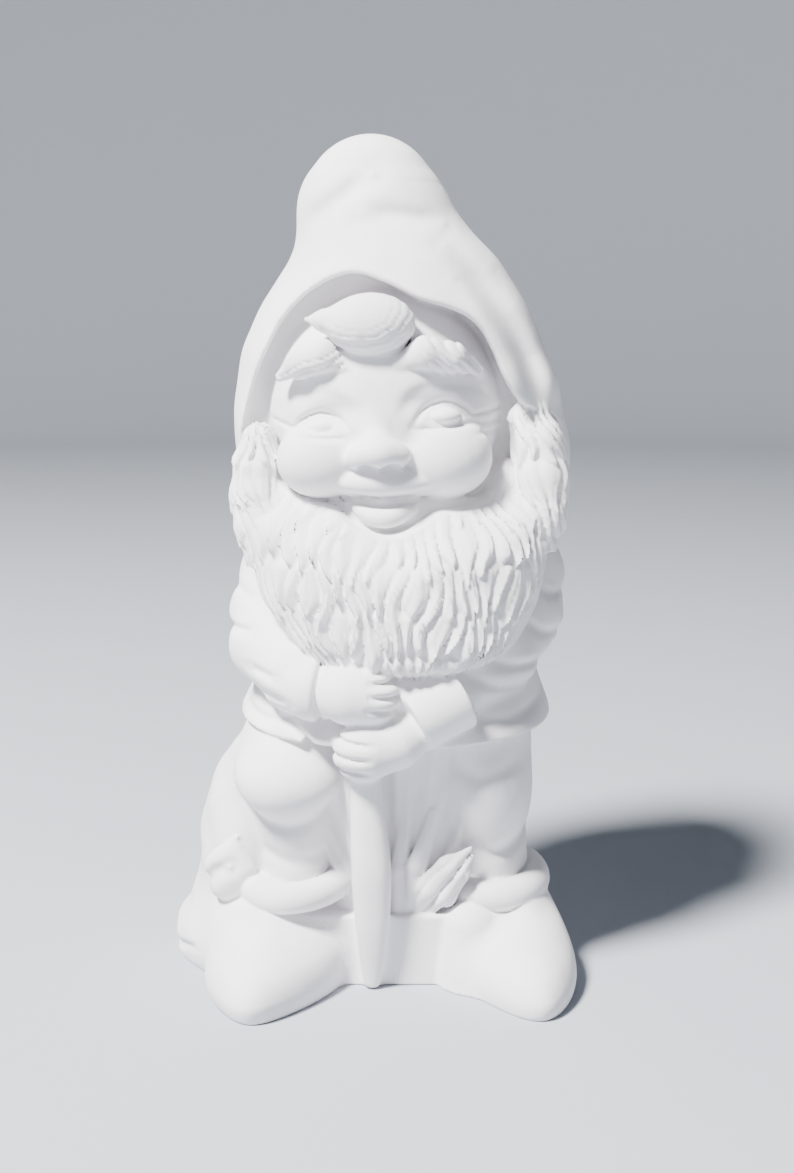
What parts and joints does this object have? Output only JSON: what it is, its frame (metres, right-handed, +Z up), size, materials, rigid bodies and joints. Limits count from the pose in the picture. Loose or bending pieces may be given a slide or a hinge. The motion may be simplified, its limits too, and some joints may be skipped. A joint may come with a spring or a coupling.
{
  "type": "garden gnome",
  "caption": "Hollow white bisque garden gnome in a tall hood, leaning with both fists on a stake, on a flat plinth with a drain hole.",
  "frame": {"origin": "on the ground under the middle of the figure's box", "axes": "+Z up, the figure faces -Y, +X to the right of someone who looks at its face"},
  "size_m": [0.1446, 0.123, 0.29],
  "materials": {
    "bisque": "unglazed white bisque earthenware, fettled and matt"
  },
  "bodies": {
    "root": {"beard": "bisque", "boot_cuff_left": "bisque", "boot_cuff_right": "bisque", "boot_left": "bisque", "boot_right": "bisque", "brow_left": "bisque", "brow_right": "bisque", "cuff_left": "bisque", "face": "bisque", "forelock": "bisque", "front_panel": "bisque", "grass_blade_short": "bisque", "grass_blade_tall": "bisque", "hand_left": "bisque", "hand_right": "bisque", "hood": "bisque", "jacket": "bisque", "leaf_large": "bisque", "leaf_small": "bisque", "mound": "bisque", "plinth": "bisque", "side_hair_left": "bisque", "side_hair_right": "bisque", "sleeve_left": "bisque", "sleeve_right": "bisque", "stake": "bisque", "support_web": "bisque", "trouser_left": "bisque", "trouser_right": "bisque"}
  },
  "joints": []
}
